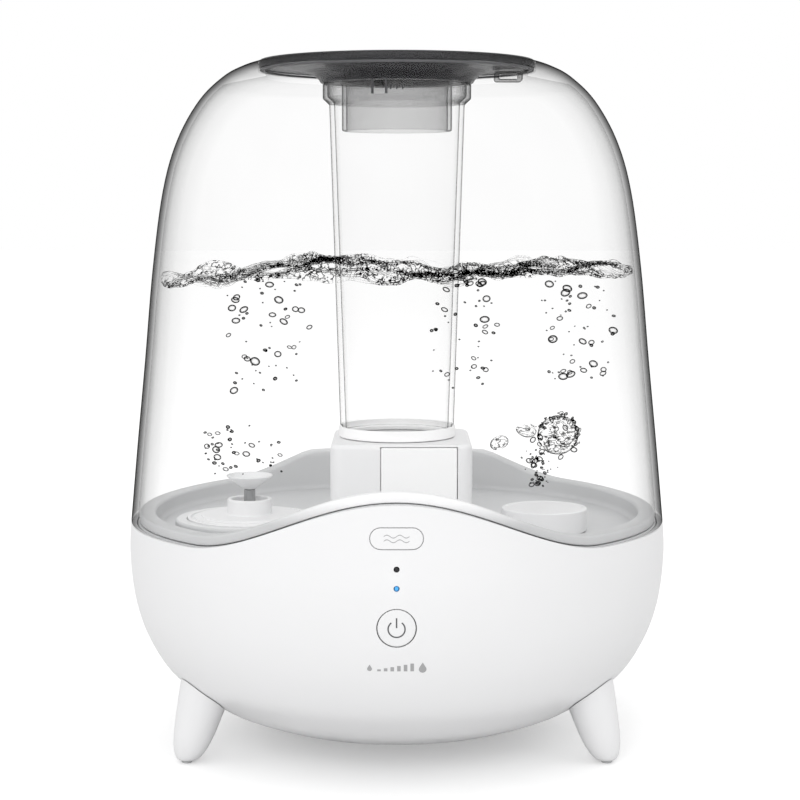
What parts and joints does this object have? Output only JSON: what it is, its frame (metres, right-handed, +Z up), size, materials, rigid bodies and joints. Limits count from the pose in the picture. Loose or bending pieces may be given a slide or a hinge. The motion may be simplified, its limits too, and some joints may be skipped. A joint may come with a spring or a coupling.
{
  "type": "cool mist humidifier",
  "caption": "Rounded ultrasonic cool mist humidifier: white base on splayed feet, clear lift-off tank with a tapered mist tube, smoked lid with turning nozzle.",
  "frame": {"origin": "centre of the footprint, on the surface the feet rest on", "axes": "+Z up, the front panel with the power button faces -Y, +X to the right seen from the front"},
  "size_m": [0.2378, 0.2378, 0.3],
  "materials": {
    "shell_white": "satin white ABS moulding",
    "inner_white": "fine satin white moulding",
    "pan_grey": "pale translucent grey moulding",
    "clear_tank": "clear polished plastic",
    "smoke": "smoked polished plastic",
    "grey_plastic": "satin grey moulding",
    "silicone": "soft white silicone",
    "foot_rubber": "matt grey rubber",
    "steel": "plain zinc-plated steel",
    "aluminium": "extruded aluminium",
    "copper": "enamelled copper winding",
    "ceramic": "silvered ceramic",
    "circuit_board": "solder mask",
    "black_plastic": "fine black moulding",
    "status_lamp": "lit blue light pipe",
    "reed_glass": "small glass tube"
  },
  "bodies": {
    "base": {"base_shell": "shell_white", "bottom_cover": "shell_white", "water_basin": "inner_white", "transducer_well": "inner_white", "air_tube": "inner_white", "mist_chimney": "inner_white", "air_duct": "inner_white", "badge_plate": "shell_white", "foot_left": "shell_white", "foot_right": "shell_white", "foot_back": "shell_white", "foot_pad_left": "foot_rubber", "foot_pad_right": "foot_rubber", "foot_pad_back": "foot_rubber", "foot_screw_left": "steel", "foot_screw_right": "steel", "foot_screw_back": "steel", "cover_screw_1": "steel", "cover_screw_2": "steel", "cover_screw_3": "steel", "transducer_gasket": "silicone", "transducer_disc": "ceramic", "transducer_clamp": "steel", "clamp_screw_1": "steel", "clamp_screw_2": "steel", "fan_frame": "black_plastic", "fan_stator": "copper", "driver_board": "circuit_board", "heat_sink": "aluminium", "filter_capacitor": "black_plastic", "control_board": "circuit_board", "power_switch": "black_plastic", "status_lens": "status_lamp", "light_sensor_lens": "black_plastic", "power_socket": "black_plastic", "reed_board": "circuit_board", "reed_switch": "reed_glass", "panel_lead": "black_plastic", "socket_lead": "black_plastic", "transducer_lead": "black_plastic"},
    "power_button": {"power_button": "shell_white"},
    "fan_rotor": {"fan_impeller": "black_plastic"},
    "float": {"float_ring": "inner_white"},
    "tank": {"tank_dome": "clear_tank", "tank_pan": "pan_grey", "tank_upstand": "pan_grey", "upstand_panel": "shell_white", "tube_seat_ring": "silicone", "mist_tube": "clear_tank", "filter_cartridge": "shell_white"},
    "tank_cap": {"tank_cap": "inner_white", "cap_gasket": "silicone", "valve_spring": "steel"},
    "valve": {"valve_stem": "grey_plastic", "valve_poppet": "silicone"},
    "lid": {"top_lid": "smoke", "lid_seal": "silicone", "lid_clip": "grey_plastic"},
    "nozzle": {"nozzle_cap": "smoke", "nozzle_skirt": "grey_plastic"}
  },
  "joints": [
    {"name": "tank_lift", "type": "slide", "parent": "base", "child": "tank", "axis": [0, 0, 1], "range_m": [0, 0.12]},
    {"name": "lid_lift", "type": "slide", "parent": "tank", "child": "lid", "axis": [0, 0, 1], "range_m": [0, 0.06]},
    {"name": "nozzle_turn", "type": "hinge", "parent": "lid", "child": "nozzle", "pos_m": [0, 0, 0.295], "axis": [0, 0, 1], "continuous": true},
    {"name": "cap_turn", "type": "hinge", "parent": "tank", "child": "tank_cap", "pos_m": [-0.0644, -0.0223, 0.095], "axis": [0, 0, 1], "range_deg": [0, 90]},
    {"name": "valve_travel", "type": "slide", "parent": "tank_cap", "child": "valve", "axis": [0, 0, 1], "range_m": [-0.0072, 0], "deforming": ["valve_spring"]},
    {"name": "float_rise", "type": "slide", "parent": "base", "child": "float", "axis": [0, 0, 1], "range_m": [0, 0.007]},
    {"name": "fan_spin", "type": "hinge", "parent": "base", "child": "fan_rotor", "pos_m": [-0.036, 0.008, 0.024], "axis": [0, 0, 1], "continuous": true},
    {"name": "power_press", "type": "slide", "parent": "base", "child": "power_button", "axis": [0, 1, 0], "range_m": [0, 0.001], "stiffness_N_per_m": 400}
  ],
  "couplings": [
    {"joint": "valve_travel", "follows": "tank_lift", "ratio": -0.06}
  ]
}
